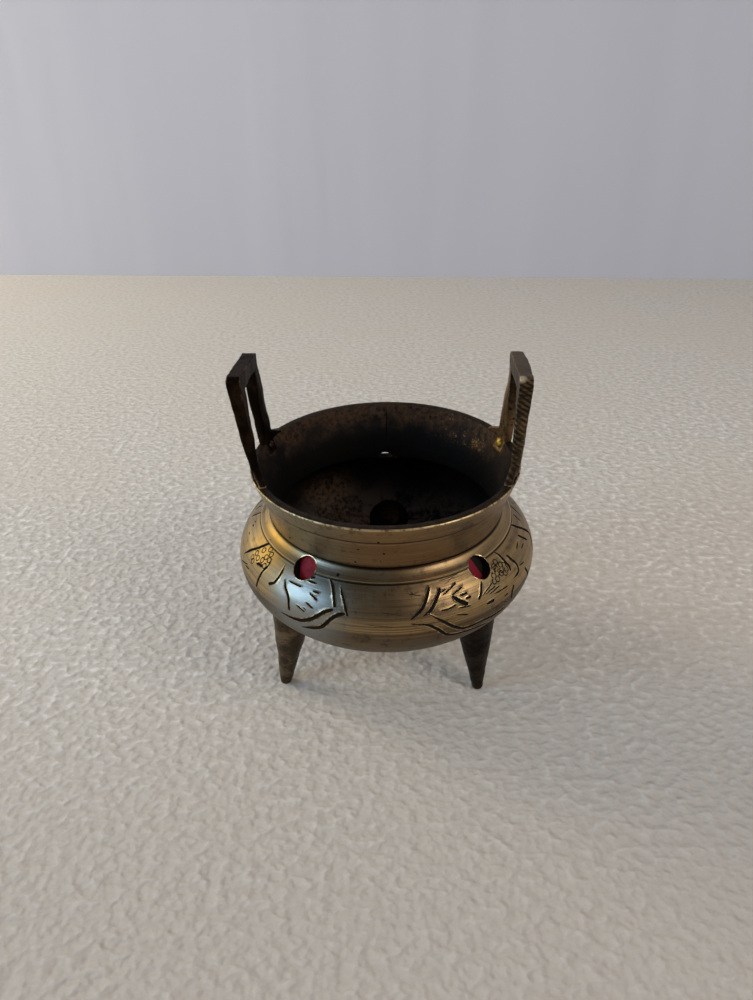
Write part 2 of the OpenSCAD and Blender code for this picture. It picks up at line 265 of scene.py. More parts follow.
class Finish(Graph):
    """Material with one Principled surface, drawn on Object coordinates in millimetres."""

    def __init__(self, name, constants):
        self.material = bpy.data.materials.new(name)
        self.material.use_nodes = True
        super().__init__(self.material.node_tree)
        self.tree.nodes.clear()
        self.surface = self.node("ShaderNodeBsdfPrincipled", None, constants)
        self.node("ShaderNodeOutputMaterial", None, {"Surface": self.surface})
        metres = self.node("ShaderNodeTexCoord").of("Object")
        self.place = self.scaled(metres, 1 / MM)
        self.x, self.y, self.z = self.axes(self.place)

    def radius(self):
        """Distance from the burner's own axis."""
        return (self.x * self.x + self.y * self.y) ** 0.5

    def noise(self, size, detail=3, roughness=0.55, offset=0, stretch=(1, 1, 1)):
        """Noise from 0 to 1 whose blotches are about size across, taken offset away."""
        moved = self.node("ShaderNodeMapping", None,
                          {"Vector": self.place, "Location": (offset, offset, offset),
                           "Scale": stretch})
        return self.node("ShaderNodeTexNoise", None,
                         {"Vector": moved, "Scale": 1 / size, "Detail": detail,
                          "Roughness": roughness})

    def near_circle(self, radius, height, reach, soft=0.5):
        """1 within reach of a circle round the axis, fading out over soft more."""
        out = self.radius() - radius
        up = self.z - height
        gap = (out * out + up * up) ** 0.5
        return self.fade(gap, reach + soft, reach)

    def near_point(self, place, reach, soft=0.4):
        """1 within reach of a place in millimetres, fading out over soft more."""
        gap = self.node("ShaderNodeVectorMath", {"operation": "DISTANCE"},
                        {0: self.place, 1: place}).of("Value")
        return self.fade(gap, reach + soft, reach)

    def beyond(self, place, direction, soft=0.1):
        """0 before a flat border through a place, 1 beyond it in that direction."""
        along = self.node("ShaderNodeVectorMath", {"operation": "DOT_PRODUCT"},
                          {0: self.place, 1: direction}).of("Value")
        level = sum(a * b for a, b in zip(place, direction))
        return self.fade(along, level - soft, level + soft)

    def band(self, value, low, high, soft):
        """1 between low and high, fading out over soft on both sides."""
        return self.fade(value, low - soft, low) * self.fade(value, high + soft, high)

    def bump(self, height, depth, below=None):
        """Normal of a relief whose height of 1 stands depth proud."""
        values = {"Height": height, "Strength": 1, "Distance": depth * MM}
        if below:
            values["Normal"] = below
        return self.node("ShaderNodeBump", None, values)

    def finish(self, colour, roughness, normal):
        """Feeds the surface and hands over the finished material."""
        self.set("Base Color", colour)
        self.set("Roughness", roughness)
        self.set("Normal", normal)
        return self.material

    def set(self, name, value):
        self.tree.links.new(value.socket, pick(self.surface.socket.node.inputs, name))


def turned_lines(finish, pitch, detail=2):
    """Fine rings left by the lathe, about pitch apart, that wander a little on their way."""
    r = finish.radius()
    wander = 1.4
    rings = finish.vector(finish.x / r * wander, finish.y / r * wander, finish.z / pitch)
    return finish.node("ShaderNodeTexNoise", {"noise_dimensions": "4D"},
                       {"Vector": rings, "W": r / pitch, "Scale": 1, "Detail": detail,
                        "Roughness": 0.6})


def worn_brass():
    """Old turned brass: painted grey-olive sheen at the left, warm brown elsewhere, golden
    streaks and painted golden highlights.
    """
    f = Finish("worn_brass", {"Metallic": 1})
    fine = turned_lines(f, 0.3)
    coarse = turned_lines(f, 1.1, 3)
    patches = f.noise(12, 3)
    stains = f.noise(3, 5, 0.65, 40)
    brown = srgb(136, 112, 84)
    olive = srgb(136, 128, 106)
    golden = srgb(186, 156, 104)
    tarnish = srgb(46, 35, 26)
    # painted sheen: the side towards the window is drawn greyer and lighter, in olive
    left = f.fade(f.x + (patches - 0.5) * 30, -2, -22)
    colour = f.mix(left * 0.85, brown, olive)
    colour = f.mix(f.fade(patches, 0.46, 0.66) * 0.5, colour, olive)
    colour = f.mix(f.fade(coarse, 0.5, 0.74) * 0.5, colour, golden)
    colour = f.mix(f.fade(fine, 0.54, 0.72) * 0.35, colour, golden)
    colour = f.mix(f.fade(fine, 0.48, 0.3) * 0.5, colour, tarnish)
    colour = f.mix(f.fade(stains, 0.52, 0.7) * 0.6, colour, tarnish)
    smudges = f.noise(1.4, 4, 0.7, 80, (1, 1, 0.5))
    colour = f.mix(f.fade(smudges, 0.55, 0.75) * 0.4, colour, tarnish)
    lines = f.band(f.z, WAIST_Z + 0.9, WAIST_Z + 3.4, 0.7)
    colour = f.mix(lines * f.fade(fine, 0.38, 0.6) * 0.6, colour, golden)
    # painted highlight: the front shoulders, left and right, go golden along the turning lines
    # where the lamps' glints fall
    rubbed = f.band(f.z, SHOULDER_Z - 7, MOUTH_Z - 0.3, 3) * f.fade(f.y, 2, -8)
    rubbed = rubbed * f.fade(abs(f.x), 13, 24)
    colour = f.mix(rubbed * f.fade(coarse, 0.3, 0.6) * 0.5, colour, golden)
    # the bowl is drawn darker below its widest line, halfway towards the tarnish colour, and
    # rougher
    belly = f.fade(f.z, WAIST_Z + 0.6, WAIST_Z - 0.2)
    colour = f.mix(belly * 0.5, colour, tarnish)
    # painted highlight: a golden glow on the left shoulder, where the warm lamp is reflected
    painted_golden_highlight = f.near_point((-31, -18, 57), 3, 9)
    colour = f.mix(painted_golden_highlight * 0.6, colour, srgb(184, 150, 78))
    # painted reflection: the front of the neck is drawn lighter and warmer
    painted_neck_reflection = f.near_point((1, -36, 64), 5, 17) * f.fade(f.z, MOUTH_Z, MOUTH_Z + 2)
    colour = f.mix(painted_neck_reflection * 0.4, colour, srgb(172, 134, 90))
    # painted highlight: the window's grey-blue reflection on the left panel
    painted_window_highlight = f.near_point((-22, -37, 50), 5, 12)
    colour = f.mix(painted_window_highlight * 0.8, colour, srgb(146, 151, 152))
    # painted shade: dark lines in the creases at the neck's foot, under the lip and under the
    # shoulder's edge
    creases = (f.near_circle(NECK_FOOT_R, MOUTH_Z, 0.2, 0.6)
               + f.near_circle(UNDER_LIP_R, LIP_Z, 0.25, 0.5)
               + f.near_circle(SHOULDER_R + 0.1, SHOULDER_Z - 0.1, 0.1, 0.35))
    colour = f.mix(creases * 0.9, colour, srgb(26, 19, 13))
    # painted highlights: bright lines along the shoulder's edge and the rim's outer edge; the
    # rim's line is broken up by the smudges
    edges = (f.near_circle(SHOULDER_R, EDGE_Z, 0.1, 0.2)
             + f.near_circle(RIM_R - 0.05, RIM_Z - 0.15, 0.2, 0.2) * f.fade(smudges, 0.62, 0.42))
    rim_top = f.band(f.radius(), RIM_R - RIM_W, RIM_R - 0.35, 0.15)
    rim_top = rim_top * f.fade(f.z, RIM_Z - 0.6, RIM_Z - 0.3)
    colour = f.mix(rim_top * (0.75 + stains * 0.3), colour, srgb(44, 33, 24))
    colour = f.mix(edges * 0.85, colour, srgb(226, 200, 152))
    dull = 0.26 + patches * 0.14 + stains * 0.14 + belly * 0.1 + rim_top * 0.25
    return f.finish(colour, dull, f.bump(coarse, 0.05, f.bump(fine, 0.02)))


def groove_soot():
    """Black dirt left in the engraved strokes."""
    f = Finish("groove_soot", {"Specular IOR Level": 0.2})
    grain = f.noise(0.5, 3)
    colour = f.mix(grain, srgb(9, 7, 5), srgb(34, 26, 18))
    return f.finish(colour, 0.7 + grain * 0.3, f.bump(grain, 0.04))


def burr_brass():
    """Bright lips thrown up beside the strokes and round the holes, polished by handling."""
    f = Finish("burr_brass", {"Metallic": 1})
    grain = f.noise(1.3, 3)
    colour = f.mix(f.fade(grain, 0.4, 0.62), srgb(122, 100, 70), srgb(196, 172, 130))
    return f.finish(colour, 0.24 + grain * 0.16, f.bump(grain, 0.02))


def sooty_inside():
    """Cast inside of the bowl and the neck, black with soot, browner high up at the back; painted
    shadow round the mouth.
    """
    f = Finish("sooty_inside", {"Specular IOR Level": 0.12})
    large = f.noise(9, 4, 0.6)
    small = f.noise(1.5, 4, 0.65, 17)
    speck = f.noise(0.6, 3, 0.6, 60)
    soot = srgb(13, 10, 8)
    brown = srgb(62, 43, 28)
    colour = f.mix(f.fade(large, 0.4, 0.75) * 0.5, soot, srgb(36, 26, 19))
    patchy = f.fade(small + (large - 0.5) * 1.2, 0.34, 0.62)
    colour = f.mix(f.fade(f.z, 44, 32) * patchy * 0.75, colour, srgb(64, 57, 50))
    high = f.fade(f.z + (large - 0.5) * 18, LIP_Z - 3, RIM_Z - 1) * f.fade(f.y, -6, 14)
    colour = f.mix(high * f.fade(small, 0.3, 0.6), colour, brown)
    rust = f.near_point((-20, 36, 40), 2, 12) + f.near_point((-8, 30, 32), 2, 11) * 0.6
    colour = f.mix(rust * f.fade(small, 0.35, 0.66) * 0.9, colour, srgb(84, 61, 43))
    rough_side = f.near_point((25, 23, 71), 3, 13)
    flecks = f.fade(speck + (small - 0.5) * 0.7 + (large - 0.5) * 0.5, 0.6, 0.78) * rough_side
    colour = f.mix(flecks * 0.8, colour, srgb(150, 116, 66))
    # painted shadow: a near-black band round the mouth, inside, where the shoulder overhangs
    black = f.band(f.z, MOUTH_Z - 1.5, MOUTH_Z + 4, 5)
    colour = f.mix(black * 0.85, colour, srgb(6, 5, 4))
    f.set("Metallic", flecks * 0.7)
    return f.finish(colour, 0.5 + small * 0.35 - rough_side * 0.15,
                    f.bump(speck, 0.08, f.bump(small, 0.15)))


def filed_and_rubbed(f, colour, relief, small, worn):
    """The right handle's own marks: rubbed rear, painted sheen on the top, bright corner, file
    marks in front.
    """
    rear = f.fade(f.y, 5, 7) * f.fade(f.z, TOP_Z - 3, TOP_Z - 4.5)
    colour = f.mix(rear * f.fade(small, 0.3, 0.6), colour, srgb(126, 98, 66))
    # painted sheen: the top millimetre of the handle is drawn lighter
    colour = f.mix(f.fade(f.z, TOP_Z - 1, TOP_Z - 0.4) * 0.6, colour, srgb(104, 88, 70))
    corner = f.near_point((35.8, -11.1, TOP_Z - 0.3), 0.5, 1.3)
    colour = f.mix(corner * 0.9, colour, srgb(214, 194, 164))
    across = f.noise(0.8, 2, 0.5, 9, (0.45, 0.45, 1))
    slant = (f.z * 0.8 + f.x * 0.5 + across * 0.8) * 5.2
    ridge = slant.math("SINE", slant) * 0.5 + 0.5
    ridge = ridge * f.fade(f.y, -9.8, -11.2) * f.fade(across, 0.3, 0.62)
    return f.mix(ridge * 0.3, colour, worn), f.bump(ridge, 0.14, relief)


def cast_bronze(name, dark, warm, worn, shine, marks=None):
    """Dark cast metal with warm patches, worn pale where the piece's wear says so."""
    f = Finish(name, {"Metallic": 0.8, "Specular IOR Level": 0.1})
    large = f.noise(5, 3)
    small = f.noise(0.9, 4, 0.6, 25)
    wear = f.node("ShaderNodeAttribute", {"attribute_name": "wear"}).of("Fac")
    worn = srgb(*worn)
    colour = f.mix(f.fade(large, 0.42, 0.66), srgb(*dark), srgb(*warm))
    colour = f.mix(f.fade(small, 0.46, 0.3) * 0.6, colour, srgb(12, 9, 7))
    edge = f.fade(wear + (large - 0.5) * 0.9 + (small - 0.5) * 0.4, 0.4, 0.72)
    relief = f.bump(small, 0.06)
    if marks:
        colour, relief = marks(f, colour, relief, small, worn)
    colour = f.mix(edge * 0.85, colour, worn)
    return f.finish(colour, shine + small * 0.25 - edge * 0.12, relief)


def rivet_brass():
    """Yellow brass of the riveted heads; the left one has gone black with soot."""
    f = Finish("rivet_brass", {"Metallic": 0.9})
    grain = f.noise(0.9, 4, 0.6)
    bright = f.mix(f.fade(grain, 0.42, 0.7), srgb(222, 184, 84), srgb(140, 104, 48))
    sooted = f.mix(grain, srgb(26, 19, 14), srgb(52, 39, 27))
    colour = f.mix(f.fade(f.x, -5, 5), sooted, bright)
    return f.finish(colour, 0.3 + grain * 0.25, f.bump(grain, 0.05))


def red_enamel(name, border):
    """Deep red pane, slightly cloudy, with painted shadow beyond a straight border (place,
    direction).
    """
    f = Finish(name, {"Specular IOR Level": 0.12})
    cloud = f.noise(1.6, 4, 0.6)
    red = f.mix(f.fade(cloud, 0.35, 0.7), srgb(124, 20, 36), srgb(98, 16, 28))
    # painted shadow: the pane goes near black beyond the border, where the hole's wall shades it
    colour = f.mix(f.beyond(*border), red, srgb(20, 14, 12))
    return f.finish(colour, 0.45 + cloud * 0.2, f.bump(cloud, 0.02))


def fleece():
    """Pale cloth under the burner, its nap in small soft bumps, with a crumb here and there."""
    f = Finish("fleece", {"Specular IOR Level": 0.1})
    nap = f.noise(3.1, 1, 0.4, 0, (1, 1.2, 1))
    hair = f.noise(0.9, 3, 0.6, 30)
    large = f.noise(70, 2)
    near = f.fade(f.y, 420, 40)      # the nap lies flatter towards the far edge
    colour = f.mix(f.fade(nap, 0.3, 0.6), srgb(177, 170, 161), srgb(189, 184, 177))
    # painted highlights: the tops of the nap's bumps are drawn whiter, less so far off
    colour = f.mix(f.fade(nap, 0.58, 0.7) * near * 0.75, colour, srgb(214, 210, 204))
    crumbs = f.noise(2.6, 1, 0.4, 60)
    colour = f.mix(f.fade(crumbs, 0.2, 0.14) * 0.6, colour, srgb(96, 82, 66))
    colour = f.mix(f.fade(large, 0.4, 0.65) * 0.4, colour, srgb(186, 178, 167))
    # painted shade: the cloth is drawn darker towards the front
    colour = f.mix(f.fade(f.y, 40, -110) * 0.8, colour, srgb(168, 160, 151))
    relief = f.bump(nap * (near * 0.8 + 0.2), 1.2, f.bump(hair, 0.12))
    return f.finish(colour, 0.9 + nap * 0.1, relief)


def pale_wall():
    """Hanging cloth behind, with faint upright folds."""
    f = Finish("pale_wall", {"Specular IOR Level": 0.1})
    wash = f.noise(240, 2)
    folds = f.noise(120, 3, 0.5, 7, (1, 1, 0.12))
    colour = f.mix(wash, srgb(184, 183, 190), srgb(190, 189, 196))
    # painted shade: streaks along the folds are drawn a little darker
    colour = f.mix(f.fade(folds, 0.4, 0.7) * 0.3, colour, srgb(180, 180, 188))
    return f.finish(colour, 0.9 + wash * 0.1, f.bump(folds, 5))


# ---------------------------------------------------------------- meshes

def place_in_scene(name, data):
    thing = bpy.data.objects.new(name, data)
    bpy.context.scene.collection.objects.link(thing)
    return thing


def new_object(name, points, edges=(), faces=(), material=None):
    """Object at the origin from points in millimetres."""
    mesh = bpy.data.meshes.new(name)
    mesh.from_pydata([Vector(p) * MM for p in points], edges, faces)
    if material:
        mesh.materials.append(material)
    return place_in_scene(name, mesh)


def ring_of_edges(count):
    """Edges that join points in order and the last one to the first."""
    return [(i, (i + 1) % count) for i in range(count)]


def remove(thing):
    mesh = thing.data
    bpy.data.objects.remove(thing)
    bpy.data.meshes.remove(mesh)


def settle(thing):
    """Turns what the modifiers make into the object's own plain mesh."""
    graph = bpy.context.evaluated_depsgraph_get()
    made = bpy.data.meshes.new_from_object(thing.evaluated_get(graph))
    thing.modifiers.clear()
    old = thing.data
    thing.data = made
    bpy.data.meshes.remove(old)
    return thing


def add_floats(mesh, name, values):
    mesh.attributes.new(name, "FLOAT", "POINT").data.foreach_set("value", values)


def add_vectors(mesh, name, vectors):
    flat = [number for vector in vectors for number in vector]
    mesh.attributes.new(name, "FLOAT_VECTOR", "POINT").data.foreach_set("vector", flat)


def geometry_tree(name, inputs):
    """New Geometry Nodes tree, mesh in and out, and its inputs' node.

    The inputs are {name: default}, each a whole number or a measure; a material comes last.
    """
    tree = bpy.data.node_groups.new(name, "GeometryNodeTree")
    tree.interface.new_socket("Mesh", in_out="INPUT", socket_type="NodeSocketGeometry")
    for label, default in inputs.items():
        kind = "NodeSocketInt" if isinstance(default, int) else "NodeSocketFloat"
        socket = tree.interface.new_socket(label, in_out="INPUT", socket_type=kind)
        socket.default_value = default
    tree.interface.new_socket("Material", in_out="INPUT", socket_type="NodeSocketMaterial")
    tree.interface.new_socket("Mesh", in_out="OUTPUT", socket_type="NodeSocketGeometry")
    graph = Graph(tree)
    return graph, graph.node("NodeGroupInput")


def end_tree(graph, given, shape):
    """Ends a tree: real geometry in the material that the tree was given."""
    real = graph.node("GeometryNodeRealizeInstances", None, {"Geometry": shape})
    painted = graph.node("GeometryNodeSetMaterial", None,
                         {"Geometry": real, "Material": given.of("Material")})
    graph.node("NodeGroupOutput", None, {"Mesh": painted})
    return graph.tree


def run_tree(thing, tree, values):
    """Makes an object's mesh with a tree, its inputs set by name."""
    step = thing.modifiers.new(tree.name, "NODES")
    step.node_group = tree
    for item in tree.interface.items_tree:
        if item.in_out == "INPUT" and item.name in values:
            step[item.identifier] = values[item.name]
    return settle(thing)


def turning_tree():
    """Turns a closed outline, drawn in X and Y, round the axis like a lathe."""
    graph, given = geometry_tree("turning", {"Segments": 96, "Path radius": MM})
    outline = graph.node("GeometryNodeMeshToCurve", None, {"Mesh": given})
    path = graph.circle(given.of("Segments"), given.of("Path radius"))
    shell = graph.node("GeometryNodeCurveToMesh", None,
                       {"Curve": path, "Profile Curve": outline})
    closed = graph.node("GeometryNodeMergeByDistance", None,
                        {"Geometry": shell, "Distance": MERGE_DISTANCE * MM})
    return end_tree(graph, given, closed)


def stroke_tree():
    """Sweeps a four-sided section along paths, upright on the surface that they follow.

    The section is given for a stroke 1 wide; each point's width scales it.
    """
    graph, given = geometry_tree("strokes", {"Height": 0.3, "Depth": 0.5,
                                             "Top half width": 0.5, "Floor half width": 0.1})
    paths = graph.node("GeometryNodeMeshToCurve", None, {"Mesh": given})
    upright = graph.node("GeometryNodeSetCurveNormal", {"mode": "FREE"},
                         {"Curve": paths, "Normal": graph.stored("lift", "FLOAT_VECTOR")})
    top, depth = given.of("Height"), given.of("Depth")
    top_w, floor_w = given.of("Top half width"), given.of("Floor half width")
    corners = [(0 - depth, 0 - floor_w), (top, 0 - top_w), (top, top_w), (0 - depth, floor_w)]
    points = {f"Point {i + 1}": graph.vector(x, y, 0) for i, (x, y) in enumerate(corners)}
    section = graph.node("GeometryNodeCurvePrimitiveQuadrilateral", {"mode": "POINTS"}, points)
    swept = graph.node("GeometryNodeCurveToMesh", None,
                       {"Curve": upright, "Profile Curve": section,
                        "Scale": graph.stored("width"), "Fill Caps": True})
    return end_tree(graph, given, swept)


def punch_tree():
    """Puts a ring punch on each point, square to the surface but a little tilted."""
    graph, given = geometry_tree("ring_punch", {"Ring radius": MM, "Ring width": MM,
                                                "Tilt": 0.1, "Seed": 1})
    ring = graph.circle(20, given.of("Ring radius"))
    wire = graph.circle(8, given.of("Ring width") * 0.5)
    tool = graph.node("GeometryNodeCurveToMesh", None, {"Curve": ring, "Profile Curve": wire})
    square = graph.node("FunctionNodeAlignRotationToVector", {"axis": "Z"},
                        {"Vector": graph.stored("lift", "FLOAT_VECTOR")})
    tilt = given.of("Tilt")
    most = graph.vector(tilt, tilt, HALF_TURN)
    hand = graph.node("FunctionNodeRandomValue", {"data_type": "FLOAT_VECTOR"},
                      {"Min": graph.scaled(most, -1), "Max": most, "Seed": given.of("Seed")})
    turned = graph.node("FunctionNodeRotateRotation", {"rotation_space": "LOCAL"},
                        {"Rotation": square, "Rotate By": hand})
    marks = graph.node("GeometryNodeInstanceOnPoints", None,
                       {"Points": given, "Instance": tool, "Rotation": turned})
    return end_tree(graph, given, marks)


def pit_tree():
    """Puts a small lump, as deep as its point's size says, on each point of a surface."""
    graph, given = geometry_tree("pits", {"Lump": MM, "Unevenness": 0.3, "Seed": 1})
    lump = graph.node("GeometryNodeMeshIcoSphere", None,
                      {"Radius": given.of("Lump"), "Subdivisions": 2})
    least, most = 1 - given.of("Unevenness"), 1 + given.of("Unevenness")
    uneven = graph.node("FunctionNodeRandomValue", {"data_type": "FLOAT_VECTOR"},
                        {"Min": graph.vector(least, least, least),
                         "Max": graph.vector(most, most, most), "Seed": given.of("Seed")})
    scale = graph.scaled(uneven, graph.stored("width"))
    lumps = graph.node("GeometryNodeInstanceOnPoints", None,
                       {"Points": given, "Instance": lump, "Scale": scale})
    return end_tree(graph, given, lumps)


def turn(name, outline, segments, material):
    """Lathe-turned body from an outline of (radius, height), anticlockwise round the metal."""
    path_r = 1
    points = [(r - path_r, -z, 0) for r, z in reversed(outline)]
    body = new_object(name, points, ring_of_edges(len(points)))
    return run_tree(body, lathe, {"Segments": segments, "Path radius": path_r * MM,
                                  "Material": material})


def carve(body, tool, operation="DIFFERENCE"):
    """Cuts a tool out of a body, or joins it on; new faces keep the tool's material."""
    step = body.modifiers.new("carve", "BOOLEAN")
    step.solver = "MANIFOLD"
    step.material_mode = "TRANSFER"
    step.operation = operation
    step.object = tool
    settle(body)
    remove(tool)


def shade(thing, angle):
    """Smooth faces, with creases sharper than angle kept crisp."""
    thing.data.shade_smooth()
    thing.data.set_sharp_from_angle(angle=math.radians(angle))


def darken_inside(body, soot, is_inside):
    """Gives a turned body's faces the inside finish where is_inside(radius, height) says so."""
    body.data.materials.append(soot)
    for face in body.data.polygons:
        r = math.hypot(face.center.x, face.center.y) / MM
        face.material_index = 1 if is_inside(r, face.center.z / MM) else 0


def finish_piece(thing, node):
    """Dresses a CAD node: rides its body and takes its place."""
    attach(thing, BODY)
    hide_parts(node)


# ---------------------------------------------------------------- outlines of the turned pieces

def bulb_arc(r, height, start, end, count):
    """Points of an ellipse about the waist, from one angle above the horizontal to another."""
    steps = [math.radians(start + (end - start) * i / count) for i in range(count + 1)]
    return [(r * math.cos(a), WAIST_Z + height * math.sin(a)) for a in steps]


def flare(share):
    """How much wider the neck is at a share of its height."""
    return NECK_FLARE * (EVEN_FLARE * share + (1 - EVEN_FLARE) * share * share)


def neck_side():
    """Outline of the neck's outside, from its foot up to the lip."""
    return [(NECK_FOOT_R + flare(i / NECK_STEPS),
             MOUTH_Z + (LIP_Z - MOUTH_Z) * i / NECK_STEPS) for i in range(NECK_STEPS + 1)]


def between(first, last, shares):
    """Points at those shares of the way from one point of an outline to another."""
    return [tuple(a + (b - a) * share for a, b in zip(first, last)) for share in shares]


def bowl_outside():
    """Outline of the bowl's outside, from the bottom's middle up to the mouth."""
    top = math.degrees(math.acos(SHOULDER_R / BELLY_R))
    belly = bulb_arc(BELLY_R, BELLY_DEPTH, -90, 0, 46)
    crown = bulb_arc(BELLY_R, CROWN_H, 0, top, 16)[1:]
    step = [(SHOULDER_R - 0.12, SHOULDER_Z + 0.12), (SHOULDER_R - 0.02, EDGE_Z - 0.16),
            (SHOULDER_R, EDGE_Z - 0.05)]
    cove = []
    for i in range(1, COVE_STEPS + 1):
        share = i / COVE_STEPS
        dip = COVE_HOLLOW * 4 * share * (1 - share) * math.sqrt(0.5)
        cove.append((SHOULDER_R - (SHOULDER_R - NECK_FOOT_R) * share - dip,
                     EDGE_Z + (MOUTH_Z - EDGE_Z) * share - dip))
    return belly + crown + step + cove


def bowl_outline():
    """Outline of the bowl's shell, with the step in its mouth that the neck ring sits in."""
    crown_in = CROWN_H - WALL
    top = math.degrees(math.acos(NECK_IN_R / INNER_R))
    inside = (bulb_arc(INNER_R, crown_in, top, 0, 12)
              + bulb_arc(INNER_R, BELLY_DEPTH - BOTTOM_WALL, 0, -90, 40)[1:])
    seat_r = NECK_IN_R + SPIGOT_W
    return (bowl_outside() + [(seat_r, MOUTH_Z), (seat_r, MOUTH_Z - SPIGOT_H),
                              (NECK_IN_R, MOUTH_Z - SPIGOT_H)] + inside)


def neck_outline():
    """Outline of the neck ring, its edges rubbed round by a tenth or two."""
    spigot_r = NECK_IN_R + SPIGOT_W - FIT
    foot_z = MOUTH_Z - SPIGOT_H + FIT
    spigot = [(NECK_IN_R, foot_z), (spigot_r, foot_z), (spigot_r, MOUTH_Z)]
    side = ([(NECK_FOOT_R - 0.15, MOUTH_Z)] + neck_side()[1:-1]
            + [(UNDER_LIP_R - 0.22, LIP_Z - 0.2)])
    lip_foot = (UNDER_LIP_R + LIP_PROUD, LIP_Z + LIP_PROUD)
    lip = ([(UNDER_LIP_R - 0.1, LIP_Z + 0.05), (lip_foot[0] - 0.05, LIP_Z + 0.2)]
           + between(lip_foot, (RIM_R, RIM_Z - 0.32), [i / 6 for i in range(7)]))
    rim_in_r = RIM_R - RIM_W
    rim = [(RIM_R - 0.04, RIM_Z - 0.12), (RIM_R - 0.14, RIM_Z - 0.02), (RIM_R - 0.3, RIM_Z),
           (SPLIT_R, RIM_Z), (rim_in_r + 0.3, RIM_Z - 0.02), (rim_in_r + 0.08, RIM_Z - 0.1)]
    lip_inside = between((rim_in_r - 0.06, RIM_Z - 0.35), (UNDER_LIP_R - NECK_WALL, LIP_Z),
                         [i / 6 for i in range(6)])
    inside = [(r - NECK_WALL, z) for r, z in reversed(neck_side())][:-1]
    return spigot + side + lip + rim + lip_inside + inside


# ---------------------------------------------------------------- places

def spin(azimuth):
    """Turns +X to point outwards at an azimuth."""
    return Matrix.Rotation(math.radians(azimuth - 90), 4, "Z")


def hole_axis(place):
    """Frame of a shoulder hole: origin on the shoulder, +Z outwards along the hole."""
    azimuth, drop = place
    return (spin(azimuth) @ Matrix.Translation((SHOULDER_R, 0, EDGE_Z))
            @ Matrix.Rotation(math.radians(90 - HOLE_TILT), 4, "Y")
            @ Matrix.Translation((drop, 0, 0)))


def leg_axis(place):
    """Frame of a leg: origin on the table, +Z up the leg."""
    azimuth, foot_r, lean = place
    return (spin(azimuth) @ Matrix.Translation((foot_r, 0, 0))
            @ Matrix.Rotation(math.radians(-lean), 4, "Y"))


def rod(name, axis, radius, low, high, material, count=64):
    """Plain cylinder tool along an axis, between two heights on it."""
    angles = [2 * math.pi * i / count for i in range(count)]
    points = [axis @ Vector((radius * math.cos(a), radius * math.sin(a), h))
              for h in (low, high) for a in angles]
    sides = [(i, (i + 1) % count, count + (i + 1) % count, count + i) for i in range(count)]
    caps = [tuple(reversed(range(count))), tuple(range(count, 2 * count))]
    return new_object(name, points, (), sides + caps, material)


def wedge(name, axis, low, high, slope, material):
    """Block tool between two corners; its outer side, towards +X, leans out by slope."""
    points = [axis @ Vector((x, y, low[2]))
              for y in (low[1], high[1]) for x in (low[0], high[0])]
    points += [axis @ Vector((x, y, high[2]))
               for y in (low[1], high[1]) for x in (low[0], high[0] + slope)]
    return new_object(name, points, (), [(0, 2, 3, 1), (4, 5, 7, 6), (0, 1, 5, 4),
                                         (2, 6, 7, 3), (0, 4, 6, 2), (1, 3, 7, 5)], material)


# ---------------------------------------------------------------- engraving

def on_belly(azimuth, height):
    """Point and outward normal of the belly, height above the widest line."""
    reach = CROWN_H if height >= 0 else BELLY_DEPTH
    r = BELLY_R * math.sqrt(1 - (height / reach) ** 2)
    a = math.radians(azimuth)
    point = Vector((r * math.sin(a), -r * math.cos(a), WAIST_Z + height))
    slope = Vector((r * math.sin(a) / BELLY_R ** 2, -r * math.cos(a) / BELLY_R ** 2,
                    height / reach ** 2))
    return point, slope.normalized()


def smooth_path(knots, step=0.5):
    """Curve through the knots (azimuth, height), as points about step apart."""
    if len(knots) == 2:
        middle = tuple((a + b) / 2 for a, b in zip(*knots))
        knots = [knots[0], middle, knots[1]]
    ends = [knots[0]] + list(knots) + [knots[-1]]
    path = []
    for a, b, c, d in zip(ends, ends[1:], ends[2:], ends[3:]):
        gap = (on_belly(*b)[0] - on_belly(*c)[0]).length
        count = max(2, round(gap / step))
        for i in range(count):
            t = i / count
            path.append(tuple(
                0.5 * (2 * q + (r - p) * t + (2 * p - 5 * q + 4 * r - s) * t * t
                       + (3 * q - p - 3 * r + s) * t ** 3)
                for p, q, r, s in zip(a, b, c, d)))
    return path + [knots[-1]]


def smoothstep(value):
    value = min(1, max(0, value))
    return value * value * (3 - 2 * value)


def graver_width(share, width):
    """Width of a stroke along its way: the graver goes in narrow and comes out blunt."""
    return width * (0.3 + 0.7 * smoothstep(share / 0.3) * smoothstep((1.02 - share) / 0.1))


def stroke_mesh(name, strokes):
    """Paths on the belly with their lift and width; strokes are (width, knots)."""
    points, edges, lifts, widths = [], [], [], []
    for width, knots in strokes:
        path = smooth_path(knots)
        for i, (azimuth, height) in enumerate(path):
            point, normal = on_belly(azimuth, height)
            if i:
                edges.append((len(points) - 1, len(points)))
            points.append(point)
            lifts.append(normal)
            widths.append(graver_width(i / (len(path) - 1), width) * MM)
    paths = new_object(name, points, edges)
    add_vectors(paths.data, "lift", lifts)
    add_floats(paths.data, "width", widths)
    return paths


def half_turn(strokes):
    return [(width, [(azimuth + 180, height) for azimuth, height in knots])
            for width, knots in strokes]


